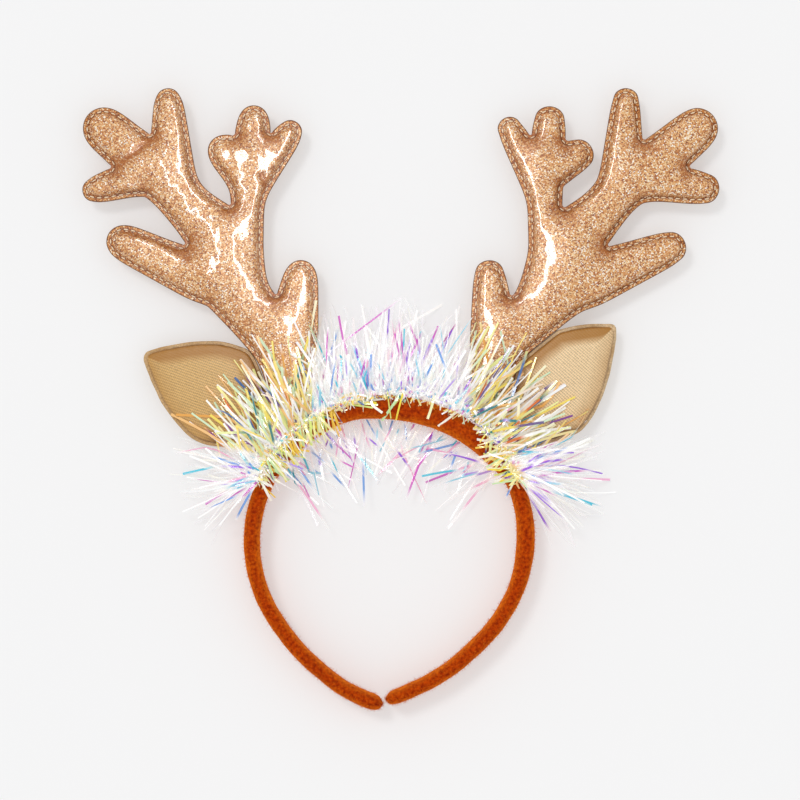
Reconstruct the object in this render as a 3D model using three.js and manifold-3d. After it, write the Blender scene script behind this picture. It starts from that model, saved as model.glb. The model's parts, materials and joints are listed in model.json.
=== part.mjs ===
// Reindeer antler headband lying on its side: a padded ring with two glitter antlers,
// two satin ears and a tinsel garland. Millimetres, +Z up. The ring's centre is the
// working origin; the finished group stands on z = 0, centred in x and y.
import * as THREE from 'three';
import { mergeVertices } from 'three/addons/utils/BufferGeometryUtils.js';
import Module from 'manifold-3d';

const wasm = await Module();
wasm.setup();

// Driving dimensions
const RING_RADIUS = 61;        // middle of the padding, from the ring's centre
const BAND_PADDING = 11.4;     // padding's full thickness, seen along Z
const BAND_HEIGHT = 16;        // width of the band, along Z
const ANTLER_HEIGHT = 148;     // foot to highest tine
const PALM_RADIUS = 16;        // half width of the palm, seen along Z
const ANTLER_DEPTH = 18;       // thickness of the stuffed palm
const SEAM_WIDTH = 2.6;        // flat edge outside the stitches
const SEAM_THICKNESS = 2;      // two layers of vinyl and their backing
const ANTLER_TURN = 38;        // degrees from the ring's top to each antler's foot
const FOOT_LIFT = 3;           // foot's centre outside the padding
const EAR_LENGTH = 55;
const EAR_WIDTH = 50;
const EAR_DEPTH = 9;
const EAR_TURN = 55;           // degrees from the ring's top to each ear's root
const GARLAND_CORE = 3;        // radius of the wound core
const STRIP_LENGTH = 44;       // longest strip of film
const STRIP_WIDTH = 1.6;       // at its root
const STRIP_COUNT = 90;
const GAP = 0.3;               // clearance between neighbouring pieces

// Fineness of the facets
const BAND_STEPS = 50;
const TINE_SIDES = 12;
const CAP_STEPS = 3;
const EAR_STEPS = 20;
const EAR_SIDES = 12;
const CORE_STEPS = 32;
const CORE_SIDES = 7;
const STRIP_SIDES = 3;
const STRIP_STEPS = 3;
const FULL_TURN = Math.PI * 2;

// The ring, clockwise from one tip to the other. turn is in degrees from the top,
// reach a share of RING_RADIUS and padding a share of BAND_PADDING.
const RING_SECTIONS = [
  { turn: -177.4, reach: 1.129, padding: 0.60 },
  { turn: -165, reach: 1.086, padding: 0.60 },
  { turn: -150, reach: 1.024, padding: 0.58 },
  { turn: -130, reach: 0.989, padding: 0.60 },
  { turn: -110, reach: 0.991, padding: 0.61 },
  { turn: -85, reach: 1.003, padding: 0.64 },
  { turn: -60, reach: 1.010, padding: 0.66 },
  { turn: -35, reach: 1.010, padding: 0.72 },
  { turn: -18, reach: 1.015, padding: 0.78 },
  { turn: 0, reach: 0.999, padding: 0.96 },
  { turn: 15, reach: 0.986, padding: 0.94 },
  { turn: 40, reach: 0.986, padding: 0.88 },
  { turn: 51, reach: 0.988, padding: 0.76 },
  { turn: 60, reach: 1.004, padding: 0.66 },
  { turn: 72, reach: 0.995, padding: 0.66 },
  { turn: 90, reach: 0.974, padding: 0.72 },
  { turn: 108, reach: 0.961, padding: 0.64 },
  { turn: 122, reach: 0.952, padding: 0.63 },
  { turn: 142, reach: 0.953, padding: 0.60 },
  { turn: 158, reach: 0.990, padding: 0.56 },
  { turn: 170, reach: 1.032, padding: 0.54 },
  { turn: 182, reach: 1.089, padding: 0.52 },
];

// Each row is a stuffed tube from one point to another. x runs outwards and y
// upwards from the foot, as shares of ANTLER_HEIGHT; r is a share of PALM_RADIUS.
const ANTLER_TUBES = {
  left: [
    { part: 'foot', x: 0.000, y: 0.000, r: 0.50, toX: 0.027, toY: 0.219, toR: 0.73 },
    { part: 'root', x: 0.036, y: 0.225, r: 0.72, toX: 0.192, toY: 0.408, toR: 0.76 },
    { part: 'brow tine', x: 0.008, y: 0.234, r: 0.705, toX: -0.019, toY: 0.438, toR: 0.454 },
    { part: 'palm', x: 0.166, y: 0.373, r: 0.775, toX: 0.207, toY: 0.510, toR: 1.026 },
    { part: 'neck', x: 0.141, y: 0.546, r: 0.43, toX: 0.138, toY: 0.680, toR: 0.41 },
    { part: 'inner tine', x: 0.138, y: 0.680, r: 0.44, toX: 0.014, toY: 0.862, toR: 0.363 },
    { part: 'upper inner tine', x: 0.133, y: 0.709, r: 0.47, toX: 0.121, toY: 0.899, toR: 0.443 },
    { part: 'short tine', x: 0.143, y: 0.724, r: 0.47, toX: 0.211, toY: 0.808, toR: 0.468 },
    { part: 'beam', x: 0.212, y: 0.522, r: 0.69, toX: 0.360, toY: 0.692, toR: 0.594 },
    { part: 'web', x: 0.185, y: 0.579, r: 0.426, toX: 0.295, toY: 0.653, toR: 0.426 },
    { part: 'top tine', x: 0.360, y: 0.694, r: 0.65, toX: 0.375, toY: 0.955, toR: 0.382 },
    { part: 'broad tine', x: 0.392, y: 0.731, r: 0.66, toX: 0.567, toY: 0.875, toR: 0.602 },
    { part: 'outer tine', x: 0.428, y: 0.738, r: 0.495, toX: 0.593, toY: 0.692, toR: 0.36 },
    { part: 'low tine', x: 0.271, y: 0.425, r: 0.646, toX: 0.511, toY: 0.538, toR: 0.484 },
  ],
  right: [
    { part: 'foot', x: 0.000, y: 0.000, r: 0.47, toX: 0.028, toY: 0.221, toR: 0.68 },
    { part: 'root', x: 0.034, y: 0.227, r: 0.66, toX: 0.236, toY: 0.412, toR: 0.815 },
    { part: 'brow tine', x: 0.024, y: 0.236, r: 0.66, toX: 0.011, toY: 0.438, toR: 0.437 },
    { part: 'palm', x: 0.181, y: 0.381, r: 0.79, toX: 0.243, toY: 0.510, toR: 1.02 },
    { part: 'neck', x: 0.177, y: 0.548, r: 0.465, toX: 0.175, toY: 0.677, toR: 0.46 },
    { part: 'inner tine', x: 0.168, y: 0.695, r: 0.495, toX: 0.072, toY: 0.874, toR: 0.35 },
    { part: 'upper inner tine', x: 0.177, y: 0.711, r: 0.47, toX: 0.189, toY: 0.895, toR: 0.446 },
    { part: 'short tine', x: 0.185, y: 0.741, r: 0.47, toX: 0.272, toY: 0.797, toR: 0.454 },
    { part: 'beam', x: 0.260, y: 0.524, r: 0.70, toX: 0.397, toY: 0.692, toR: 0.60 },
    { part: 'web', x: 0.221, y: 0.576, r: 0.412, toX: 0.340, toY: 0.656, toR: 0.412 },
    { part: 'top tine', x: 0.402, y: 0.697, r: 0.643, toX: 0.416, toY: 0.956, toR: 0.377 },
    { part: 'broad tine', x: 0.453, y: 0.732, r: 0.69, toX: 0.628, toY: 0.876, toR: 0.597 },
    { part: 'outer tine', x: 0.459, y: 0.726, r: 0.56, toX: 0.646, toY: 0.699, toR: 0.446 },
    { part: 'low tine', x: 0.298, y: 0.421, r: 0.75, toX: 0.546, toY: 0.521, toR: 0.465 },
  ],
};

// Slices across each ear, from its root outwards. along is a share of EAR_LENGTH,
// top and bottom are shares of EAR_WIDTH above the root.
const EAR_SLICES = {
  left: [
    { along: -0.051, top: 0.402, bottom: 0.077 },
    { along: -0.003, top: 0.552, bottom: 0.024 },
    { along: 0.061, top: 0.781, bottom: 0.041 },
    { along: 0.141, top: 0.950, bottom: 0.090 },
    { along: 0.237, top: 1.005, bottom: 0.115 },
    { along: 0.381, top: 1.045, bottom: 0.118 },
    { along: 0.517, top: 1.048, bottom: 0.140 },
    { along: 0.637, top: 1.040, bottom: 0.209 },
    { along: 0.757, top: 1.018, bottom: 0.349 },
    { along: 0.861, top: 0.996, bottom: 0.508 },
    { along: 0.941, top: 0.970, bottom: 0.693 },
    { along: 0.981, top: 0.952, bottom: 0.807 },
    { along: 1.001, top: 0.917, bottom: 0.869 },
  ],
  right: [
    { along: -0.085, top: 0.319, bottom: 0.055 },
    { along: -0.045, top: 0.557, bottom: 0.020 },
    { along: 0.003, top: 0.786, bottom: 0.038 },
    { along: 0.067, top: 0.944, bottom: 0.091 },
    { along: 0.163, top: 1.041, bottom: 0.117 },
    { along: 0.307, top: 1.125, bottom: 0.157 },
    { along: 0.443, top: 1.173, bottom: 0.205 },
    { along: 0.563, top: 1.199, bottom: 0.267 },
    { along: 0.659, top: 1.208, bottom: 0.399 },
    { along: 0.739, top: 1.208, bottom: 0.583 },
    { along: 0.795, top: 1.208, bottom: 0.777 },
    { along: 0.827, top: 1.199, bottom: 0.962 },
    { along: 0.843, top: 1.173, bottom: 1.067 },
  ],
};

// Line of the garland's core, reach a share of RING_RADIUS.
const GARLAND_LINE = [
  { turn: -63, reach: 1.05 },
  { turn: -48, reach: 1.03 },
  { turn: -34, reach: 1.04 },
  { turn: -14, reach: 1.08 },
  { turn: 0, reach: 1.10 },
  { turn: 20, reach: 1.11 },
  { turn: 45, reach: 1.11 },
  { turn: 62, reach: 1.07 },
];

const radians = THREE.MathUtils.degToRad;
const lerp = THREE.MathUtils.lerp;

// A smooth value between the rows of a table.
function readTable(rows, key, value, at) {
  const last = rows.length - 1;
  let i = 0;
  while (i < last - 1 && at > rows[i + 1][key]) i += 1;
  const share = THREE.MathUtils.clamp((at - rows[i][key]) / (rows[i + 1][key] - rows[i][key]), 0, 1);
  const before = rows[Math.max(i - 1, 0)][value];
  const start = rows[i][value];
  const end = rows[i + 1][value];
  const after = rows[Math.min(i + 2, last)][value];
  const pull = (end - before) / 2;
  const push = (after - start) / 2;
  const s2 = share * share;
  const s3 = s2 * share;
  const blend = 3 * s2 - 2 * s3;
  return start * (1 - blend) + end * blend + pull * (s3 - 2 * s2 + share) + push * (s3 - s2);
}

// Closed mesh to solid, and back.
function solid(geometry) {
  geometry.deleteAttribute('normal');
  geometry.deleteAttribute('uv');
  const merged = mergeVertices(geometry, 1e-4);
  return new wasm.Manifold(new wasm.Mesh({
    numProp: 3,
    vertProperties: new Float32Array(merged.attributes.position.array),
    triVerts: new Uint32Array(merged.index.array),
  }));
}

function meshOf(name, body, material) {
  const { vertProperties, triVerts } = body.getMesh();
  const geometry = new THREE.BufferGeometry();
  geometry.setAttribute('position', new THREE.BufferAttribute(new Float32Array(vertProperties), 3));
  geometry.setIndex(new THREE.BufferAttribute(new Uint32Array(triVerts), 1));
  geometry.computeVertexNormals();
  const mesh = new THREE.Mesh(geometry, material);
  mesh.name = name;
  return mesh;
}

function joined(solids) {
  return solids.reduce((whole, next) => whole.add(next));
}

// A section of half size 1 swept in steps, each of its points put in place by a function.
function sweep(section, steps, place) {
  const geometry = new THREE.ExtrudeGeometry(section, { depth: 1, steps, bevelEnabled: false });
  const position = geometry.attributes.position;
  const point = new THREE.Vector3();
  for (let i = 0; i < position.count; i += 1) {
    place(position.getX(i), position.getY(i), position.getZ(i), point);
    position.setXYZ(i, point.x, point.y, point.z);
  }
  return solid(geometry);
}

function roundSection(sides) {
  const points = [];
  for (let i = 0; i < sides; i += 1) {
    const angle = (i / sides) * FULL_TURN;
    points.push(new THREE.Vector2(Math.cos(angle), Math.sin(angle)));
  }
  return new THREE.Shape(points);
}

// Felt padding: upright sides, well rounded shoulders and a flat face to lie on.
function bandSection() {
  const flat = 0.45;
  const points = [
    [flat, -1], [0.85, -0.72], [1, -0.35], [1, 0.35], [0.85, 0.72], [flat, 1],
    [-flat, 1], [-0.85, 0.72], [-1, 0.35], [-1, -0.35], [-0.85, -0.72], [-flat, -1],
  ];
  return new THREE.Shape(points.map(([x, y]) => new THREE.Vector2(x, y)));
}

function ringReach(turn) {
  return RING_RADIUS * readTable(RING_SECTIONS, 'turn', 'reach', turn);
}

function ringHalfPadding(turn) {
  return 0.5 * BAND_PADDING * readTable(RING_SECTIONS, 'turn', 'padding', turn);
}

function onRing(turn, radius) {
  const angle = radians(turn);
  return new THREE.Vector2(radius * Math.sin(angle), radius * Math.cos(angle));
}

// Rounds off both tips of the ring.
function tipShare(turn) {
  const rounding = 4.2; // degrees
  const bluntest = 0.35;
  const first = RING_SECTIONS[0].turn;
  const last = RING_SECTIONS[RING_SECTIONS.length - 1].turn;
  const inside = Math.min(turn - first, last - turn, rounding) / rounding;
  return lerp(bluntest, 1, Math.sqrt(inside * (2 - inside)));
}

// grow widens the band on every side, for cutting its neighbours to fit.
function band(grow) {
  const first = RING_SECTIONS[0].turn;
  const last = RING_SECTIONS[RING_SECTIONS.length - 1].turn;
  const crowding = 0.16; // more steps near the tips
  const tipHeight = 0.5;
  return sweep(bandSection(), BAND_STEPS, (u, v, w, point) => {
    const eased = w - crowding * Math.sin(FULL_TURN * w) / FULL_TURN;
    const turn = lerp(first, last, eased);
    const share = tipShare(turn);
    const place = onRing(turn, ringReach(turn) + u * (ringHalfPadding(turn) * share + grow));
    const halfHeight = 0.5 * BAND_HEIGHT * lerp(tipHeight, 1, share) + grow;
    point.set(place.x, place.y, 0.5 * BAND_HEIGHT + v * halfHeight);
  });
}

// Where each antler's foot and each ear's root meet the padding.
function footPlace(side) {
  const turn = side * ANTLER_TURN;
  return onRing(turn, ringReach(turn) + ringHalfPadding(turn) + FOOT_LIFT);
}

function earPlace(side) {
  const turn = side * EAR_TURN;
  return onRing(turn, ringReach(turn) + ringHalfPadding(turn));
}

// The tubes of one antler in real sizes.
function antlerTubes(name) {
  const side = name === 'left' ? -1 : 1;
  const foot = footPlace(side);
  return ANTLER_TUBES[name].map((row) => ({
    start: new THREE.Vector2(foot.x + side * row.x * ANTLER_HEIGHT, foot.y + row.y * ANTLER_HEIGHT),
    end: new THREE.Vector2(foot.x + side * row.toX * ANTLER_HEIGHT, foot.y + row.toY * ANTLER_HEIGHT),
    startRadius: row.r * PALM_RADIUS,
    endRadius: row.toR * PALM_RADIUS,
    isFoot: row.part === 'foot',
  }));
}

// Outline of a tapered tube with round ends, from its start up the Y axis.
function taperOutline(length, startRadius, endRadius) {
  const lean = Math.asin((startRadius - endRadius) / length);
  const points = [];
  for (let i = 0; i <= CAP_STEPS; i += 1) {
    const angle = lerp(-Math.PI / 2, lean, i / CAP_STEPS);
    points.push(new THREE.Vector2(startRadius * Math.cos(angle), startRadius * Math.sin(angle)));
  }
  for (let i = 0; i <= CAP_STEPS; i += 1) {
    const angle = lerp(lean, Math.PI / 2, i / CAP_STEPS);
    points.push(new THREE.Vector2(endRadius * Math.cos(angle), length + endRadius * Math.sin(angle)));
  }
  points[0].x = 0;
  points[points.length - 1].x = 0;
  return points;
}

function layAlong(geometry, start, end) {
  const heading = Math.atan2(end.y - start.y, end.x - start.x);
  geometry.rotateZ(heading - Math.PI / 2);
  geometry.translate(start.x, start.y, 0.5 * ANTLER_DEPTH);
  return solid(geometry);
}

// Half thickness of the stuffing where a tube has the given radius.
function stuffing(radius, limit) {
  const fullness = 1.15;
  return Math.min(limit, fullness * radius);
}

// The stuffed body of one tube, inside its stitches.
function stuffedTube(tube, grow) {
  const length = tube.start.distanceTo(tube.end);
  const startRadius = tube.startRadius - SEAM_WIDTH + grow;
  const endRadius = tube.endRadius - SEAM_WIDTH + grow;
  const geometry = new THREE.LatheGeometry(taperOutline(length, startRadius, endRadius), TINE_SIDES);
  const limit = 0.5 * (tube.isFoot ? Math.min(BAND_HEIGHT, ANTLER_DEPTH) - 2 * GAP : ANTLER_DEPTH);
  const startShare = stuffing(startRadius, limit) / startRadius;
  const endShare = stuffing(endRadius, tube.isFoot ? limit : 0.5 * ANTLER_DEPTH) / endRadius;
  const position = geometry.attributes.position;
  for (let i = 0; i < position.count; i += 1) {
    const along = THREE.MathUtils.clamp(position.getY(i) / length, 0, 1);
    const z = position.getZ(i) * lerp(startShare, endShare, along);
    position.setZ(i, THREE.MathUtils.clamp(z, -limit, limit));
  }
  return layAlong(geometry, tube.start, tube.end);
}

// The flat sewn edge round the same tube.
function seamPlate(tube, grow) {
  const length = tube.start.distanceTo(tube.end);
  const half = taperOutline(length, tube.startRadius + grow, tube.endRadius + grow);
  const mirrored = half.slice(1, -1).reverse().map((point) => new THREE.Vector2(-point.x, point.y));
  const thickness = SEAM_THICKNESS + 2 * grow;
  const shape = new THREE.Shape([...half, ...mirrored]);
  const geometry = new THREE.ExtrudeGeometry(shape, { depth: thickness, bevelEnabled: false });
  geometry.translate(0, 0, -0.5 * thickness);
  return layAlong(geometry, tube.start, tube.end);
}

function antler(name, grow) {
  const tubes = antlerTubes(name);
  const bodies = joined(tubes.map((tube) => stuffedTube(tube, grow)));
  const plates = joined(tubes.map((tube) => seamPlate(tube, grow)));
  return bodies.add(plates);
}

// A padded ear lofted through its slices, thinning towards its ends.
function ear(name, grow) {
  const side = name === 'left' ? -1 : 1;
  const root = earPlace(side);
  const rows = EAR_SLICES[name];
  const first = rows[0].along;
  const last = rows[rows.length - 1].along;
  const full = 0.9;
  return sweep(roundSection(EAR_SIDES), EAR_STEPS, (u, v, w, point) => {
    const eased = 0.5 - 0.5 * Math.cos(Math.PI * w);
    const along = lerp(first, last, eased);
    const top = readTable(rows, 'along', 'top', along);
    const bottom = readTable(rows, 'along', 'bottom', along);
    const halfWidth = 0.5 * EAR_WIDTH * (top - bottom) + grow;
    const share = Math.sqrt(Math.min(1, (top - bottom) / full));
    const x = root.x + side * (along * EAR_LENGTH + (w === 1 ? grow : 0) - (w === 0 ? grow : 0));
    const y = root.y + 0.5 * EAR_WIDTH * (top + bottom) + side * u * halfWidth;
    point.set(x, y, 0.5 * BAND_HEIGHT + v * (0.5 * EAR_DEPTH * share + grow));
  });
}

// Height of the garland's core, just clear of the padding below it.
function coreHeight() {
  return BAND_HEIGHT + GAP + GARLAND_CORE;
}

function garlandCurve() {
  const points = GARLAND_LINE.map((row) => {
    const place = onRing(row.turn, RING_RADIUS * row.reach);
    return new THREE.Vector3(place.x, place.y, coreHeight());
  });
  return new THREE.CatmullRomCurve3(points);
}

function garlandCore(curve) {
  const section = new THREE.Shape(roundSection(CORE_SIDES).getPoints().slice(0, CORE_SIDES)
    .map((point) => point.multiplyScalar(GARLAND_CORE)));
  return solid(new THREE.ExtrudeGeometry(section, { extrudePath: curve, steps: CORE_STEPS }));
}

// Whether a place lies over an antler, where a strip can't hang down.
function overAntler(place, margin) {
  return ['left', 'right'].some((name) => antlerTubes(name).some((tube) => {
    const axis = tube.end.clone().sub(tube.start);
    const share = THREE.MathUtils.clamp(place.clone().sub(tube.start).dot(axis) / axis.lengthSq(), 0, 1);
    const nearest = tube.start.clone().addScaledVector(axis, share);
    return place.distanceTo(nearest) < lerp(tube.startRadius, tube.endRadius, share) + margin;
  }));
}

function overEar(place, margin) {
  const highest = 1.2 * EAR_WIDTH;
  return [-1, 1].some((side) => {
    const root = earPlace(side);
    const along = side * (place.x - root.x);
    const up = place.y - root.y;
    return along > -margin && along < EAR_LENGTH + margin && up > -margin && up < highest + margin;
  });
}

// One pointed strip of film, which leaves the core and hangs where nothing is below it.
function strip(start, heading, length, drop) {
  const geometry = new THREE.ConeGeometry(0.5 * STRIP_WIDTH, length, STRIP_SIDES, STRIP_STEPS);
  const across = new THREE.Vector3().crossVectors(new THREE.Vector3(0, 0, 1), heading).normalize();
  const over = new THREE.Vector3().crossVectors(across, heading).normalize();
  const flatness = 0.6;
  const position = geometry.attributes.position;
  const point = new THREE.Vector3();
  for (let i = 0; i < position.count; i += 1) {
    const along = position.getY(i) / length + 0.5;
    point.copy(start).addScaledVector(heading, along * length);
    point.addScaledVector(across, position.getX(i));
    point.addScaledVector(over, position.getZ(i) * flatness);
    point.z -= drop * along * along;
    position.setXYZ(i, point.x, point.y, point.z);
  }
  return solid(geometry);
}

function garland() {
  const curve = garlandCurve();
  const up = new THREE.Vector3(0, 0, 1);
  const strips = [];
  const goldenTurn = 0.618034;
  const lowest = 9;
  const highest = 171;
  const slant = 0.5;
  const slantWaves = 0.65;
  const endSpread = 1.1;
  const shortest = 0.62;
  const upright = 0.35;
  const inward = 0.35;
  const sag = 0.8;
  const clear = 4;
  for (let i = 0; i < STRIP_COUNT; i += 1) {
    const share = (i + 0.5) / STRIP_COUNT;
    const start = curve.getPointAt(share);
    const along = curve.getTangentAt(share);
    const out = new THREE.Vector3().crossVectors(up, along).normalize();
    const fan = radians(lerp(lowest, highest, (i * goldenTurn) % 1));
    const heading = out.multiplyScalar(Math.cos(fan)).addScaledVector(up, Math.sin(fan));
    const spread = endSpread * (2 * share - 1) ** 3;
    const lean = slant * Math.sin(FULL_TURN * slantWaves * share + 2 * fan);
    heading.addScaledVector(along, lean + spread).normalize();
    const full = STRIP_LENGTH * (1 - upright * heading.z - inward * Math.max(0, -Math.cos(fan)));
    const length = full * lerp(shortest, 1, (i * goldenTurn * goldenTurn) % 1);
    const tip = start.clone().addScaledVector(heading, length);
    const covered = [0.4, 0.6, 0.8, 1].some((s) => {
      const at = start.clone().lerp(tip, s);
      const place = new THREE.Vector2(at.x, at.y);
      return overAntler(place, clear) || overEar(place, clear);
    });
    const onBand = Math.abs(Math.hypot(tip.x, tip.y) - RING_RADIUS) < BAND_PADDING;
    const drop = covered || onBand ? 0 : sag * tip.z * (1 - Math.sin(fan));
    strips.push(strip(start, heading, length, drop));
  }
  return garlandCore(curve).add(joined(strips));
}

const felt = new THREE.MeshStandardMaterial({ color: 0x9a4a1c, roughness: 0.95, metalness: 0 });
const glitter = new THREE.MeshStandardMaterial({ color: 0xc98a63, roughness: 0.3, metalness: 0.5 });
const satin = new THREE.MeshStandardMaterial({ color: 0xb98a4c, roughness: 0.45, metalness: 0 });
const film = new THREE.MeshStandardMaterial({ color: 0xe8dcea, roughness: 0.15, metalness: 0.2 });

const bandRoom = band(GAP);
const rightEar = ear('right', 0).subtract(bandRoom);
const leftAntler = antler('left', 0).subtract(bandRoom);
const rightAntler = antler('right', 0).subtract(bandRoom).subtract(ear('right', GAP));
const leftEar = ear('left', 0).subtract(bandRoom).subtract(antler('left', GAP));

const headband = new THREE.Group();
headband.add(meshOf('headband', band(0), felt));
headband.add(meshOf('antler_left', leftAntler, glitter));
headband.add(meshOf('antler_right', rightAntler, glitter));
headband.add(meshOf('ear_left', leftEar, satin));
headband.add(meshOf('ear_right', rightEar, satin));
headband.add(meshOf('tinsel_garland', garland(), film));

const box = new THREE.Box3().setFromObject(headband);
const middle = box.getCenter(new THREE.Vector3());
headband.position.set(-middle.x, -middle.y, -box.min.z);

const part = new THREE.Group();
part.add(headband);
export default part;
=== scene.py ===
"""Reindeer antler headband lying on a pale table, seen from straight above."""

import json
import math

import bpy
import numpy as np
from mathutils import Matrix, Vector, noise as noise_field
from mathutils.bvhtree import BVHTree
from mathutils.kdtree import KDTree


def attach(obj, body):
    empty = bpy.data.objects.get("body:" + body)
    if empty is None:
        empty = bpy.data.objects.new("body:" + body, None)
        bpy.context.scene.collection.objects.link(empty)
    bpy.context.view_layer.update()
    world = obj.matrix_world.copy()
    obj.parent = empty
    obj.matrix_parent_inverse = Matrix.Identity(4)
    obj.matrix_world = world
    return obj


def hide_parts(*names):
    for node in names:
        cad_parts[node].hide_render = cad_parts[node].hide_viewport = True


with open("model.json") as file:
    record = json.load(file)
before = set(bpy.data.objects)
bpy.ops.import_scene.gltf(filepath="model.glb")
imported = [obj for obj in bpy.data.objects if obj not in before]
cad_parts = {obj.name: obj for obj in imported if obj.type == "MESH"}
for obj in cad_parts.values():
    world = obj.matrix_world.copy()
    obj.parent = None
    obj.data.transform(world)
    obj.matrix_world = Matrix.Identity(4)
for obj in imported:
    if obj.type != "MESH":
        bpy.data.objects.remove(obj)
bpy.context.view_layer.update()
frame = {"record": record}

# Sizes, in metres
MM = 0.001
RING_RADIUS = 61 * MM
BAND_PADDING = 11.4 * MM
BAND_HEIGHT = 16 * MM
ANTLER_HEIGHT = 148 * MM
PALM_RADIUS = 16 * MM
ANTLER_DEPTH = 18 * MM
ANTLER_TURN = 38
FOOT_LIFT = 3 * MM
EAR_LENGTH = 55 * MM
EAR_WIDTH = 50 * MM
EAR_DEPTH = 9 * MM
EAR_TURN = 55
GAP = 0.3 * MM
STITCH_INSET = 1.9 * MM
PAD_INSET = 2.5 * MM
EAR_RIM = 1.2 * MM
SIM_SCALE = 10

# The ring: degrees clockwise from its top, reach as a share of RING_RADIUS,
# padding as a share of BAND_PADDING
RING = [
    (-177.4, 1.143, 0.64), (-165, 1.097, 0.62), (-150, 1.031, 0.60), (-130, 0.991, 0.60),
    (-110, 0.991, 0.61), (-85, 1.003, 0.64), (-60, 1.010, 0.66), (-35, 1.010, 0.72),
    (-18, 1.015, 0.78), (0, 0.999, 0.96), (15, 0.986, 0.94), (40, 0.986, 0.88),
    (51, 0.988, 0.76), (60, 1.004, 0.66), (72, 0.995, 0.66), (90, 0.974, 0.72),
    (108, 0.961, 0.64), (122, 0.952, 0.63), (142, 0.957, 0.61), (158, 0.999, 0.59),
    (170, 1.046, 0.58), (182, 1.106, 0.58),
]

# Tubes of each antler: x outwards, y upwards and r at both ends, as shares of
# ANTLER_HEIGHT, ANTLER_HEIGHT and PALM_RADIUS
TUBES = {
    "left": [
        (0.000, 0.000, 0.50, 0.027, 0.219, 0.73), (0.036, 0.225, 0.72, 0.192, 0.408, 0.76),
        (0.008, 0.234, 0.705, -0.019, 0.438, 0.454), (0.166, 0.373, 0.775, 0.207, 0.510, 1.026),
        (0.141, 0.546, 0.43, 0.138, 0.680, 0.41), (0.138, 0.680, 0.44, 0.014, 0.862, 0.363),
        (0.133, 0.709, 0.47, 0.121, 0.899, 0.443), (0.143, 0.724, 0.47, 0.211, 0.808, 0.468),
        (0.212, 0.522, 0.69, 0.360, 0.692, 0.594), (0.185, 0.579, 0.426, 0.295, 0.653, 0.426),
        (0.360, 0.694, 0.65, 0.375, 0.955, 0.382), (0.392, 0.731, 0.66, 0.567, 0.875, 0.602),
        (0.428, 0.738, 0.495, 0.593, 0.692, 0.36), (0.271, 0.425, 0.646, 0.511, 0.538, 0.484),
    ],
    "right": [
        (0.000, 0.000, 0.47, 0.028, 0.221, 0.68), (0.034, 0.227, 0.66, 0.236, 0.412, 0.815),
        (0.024, 0.236, 0.66, 0.011, 0.438, 0.437), (0.181, 0.381, 0.79, 0.243, 0.510, 1.02),
        (0.177, 0.548, 0.465, 0.175, 0.677, 0.46), (0.168, 0.695, 0.495, 0.072, 0.874, 0.35),
        (0.177, 0.711, 0.47, 0.189, 0.895, 0.446), (0.185, 0.741, 0.47, 0.272, 0.797, 0.454),
        (0.260, 0.524, 0.70, 0.397, 0.692, 0.60), (0.221, 0.576, 0.412, 0.340, 0.656, 0.412),
        (0.402, 0.697, 0.643, 0.416, 0.956, 0.377), (0.453, 0.732, 0.69, 0.628, 0.876, 0.597),
        (0.459, 0.726, 0.56, 0.646, 0.699, 0.446), (0.298, 0.421, 0.75, 0.546, 0.521, 0.465),
    ],
}

# Slices across each ear: along as a share of EAR_LENGTH, top and bottom as shares
# of EAR_WIDTH above the root
EAR_SLICES = {
    "left": [
        (-0.051, 0.402, 0.077), (-0.003, 0.552, 0.024), (0.061, 0.781, 0.041),
        (0.141, 0.950, 0.090), (0.237, 1.005, 0.115), (0.381, 1.045, 0.118),
        (0.517, 1.048, 0.140), (0.637, 1.040, 0.209), (0.757, 1.018, 0.349),
        (0.861, 0.996, 0.508), (0.941, 0.970, 0.693), (0.981, 0.952, 0.807),
        (1.001, 0.917, 0.869),
    ],
    "right": [
        (-0.085, 0.319, 0.055), (-0.045, 0.557, 0.020), (0.003, 0.786, 0.038),
        (0.067, 0.944, 0.091), (0.163, 1.041, 0.117), (0.307, 1.125, 0.157),
        (0.443, 1.173, 0.205), (0.563, 1.199, 0.267), (0.659, 1.208, 0.399),
        (0.739, 1.208, 0.583), (0.795, 1.208, 0.777), (0.827, 1.199, 0.962),
        (0.843, 1.173, 1.067),
    ],
}

# Line of the garland's core: degrees from the ring's top, share of RING_RADIUS
GARLAND = [
    (-63, 1.08), (-48, 1.09), (-34, 1.10), (-14, 1.11), (0, 1.12), (20, 1.13), (45, 1.09), (62, 1.055),
]

# The record's mount lies under the padding at the ring's top
RESTING_POINT = frame["record"]["mounts"][0]["pos_m"]
TOP_REACH = 0.999 * RING_RADIUS
RING_CENTRE = np.array([RESTING_POINT[0], RESTING_POINT[1] - TOP_REACH])


def smooth_read(rows, column, at):
    """A smooth value between the rows of a table whose first column is the place."""
    last = len(rows) - 1
    i = 0
    while i < last - 1 and at > rows[i + 1][0]:
        i += 1
    share = min(max((at - rows[i][0]) / (rows[i + 1][0] - rows[i][0]), 0), 1)
    before = rows[max(i - 1, 0)][column]
    start = rows[i][column]
    end = rows[i + 1][column]
    after = rows[min(i + 2, last)][column]
    s2 = share * share
    s3 = s2 * share
    blend = 3 * s2 - 2 * s3
    pull = (end - before) / 2 * (s3 - 2 * s2 + share)
    push = (after - start) / 2 * (s3 - s2)
    return start * (1 - blend) + end * blend + pull + push


def ring_reach(turn):
    return RING_RADIUS * smooth_read(RING, 1, turn)


def ring_half_padding(turn):
    return 0.5 * BAND_PADDING * smooth_read(RING, 2, turn)


def on_ring(turn, radius):
    angle = math.radians(turn)
    return RING_CENTRE + radius * np.array([math.sin(angle), math.cos(angle)])


def side_of(name):
    return -1 if name == "left" else 1


# Objects and their selection

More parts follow.
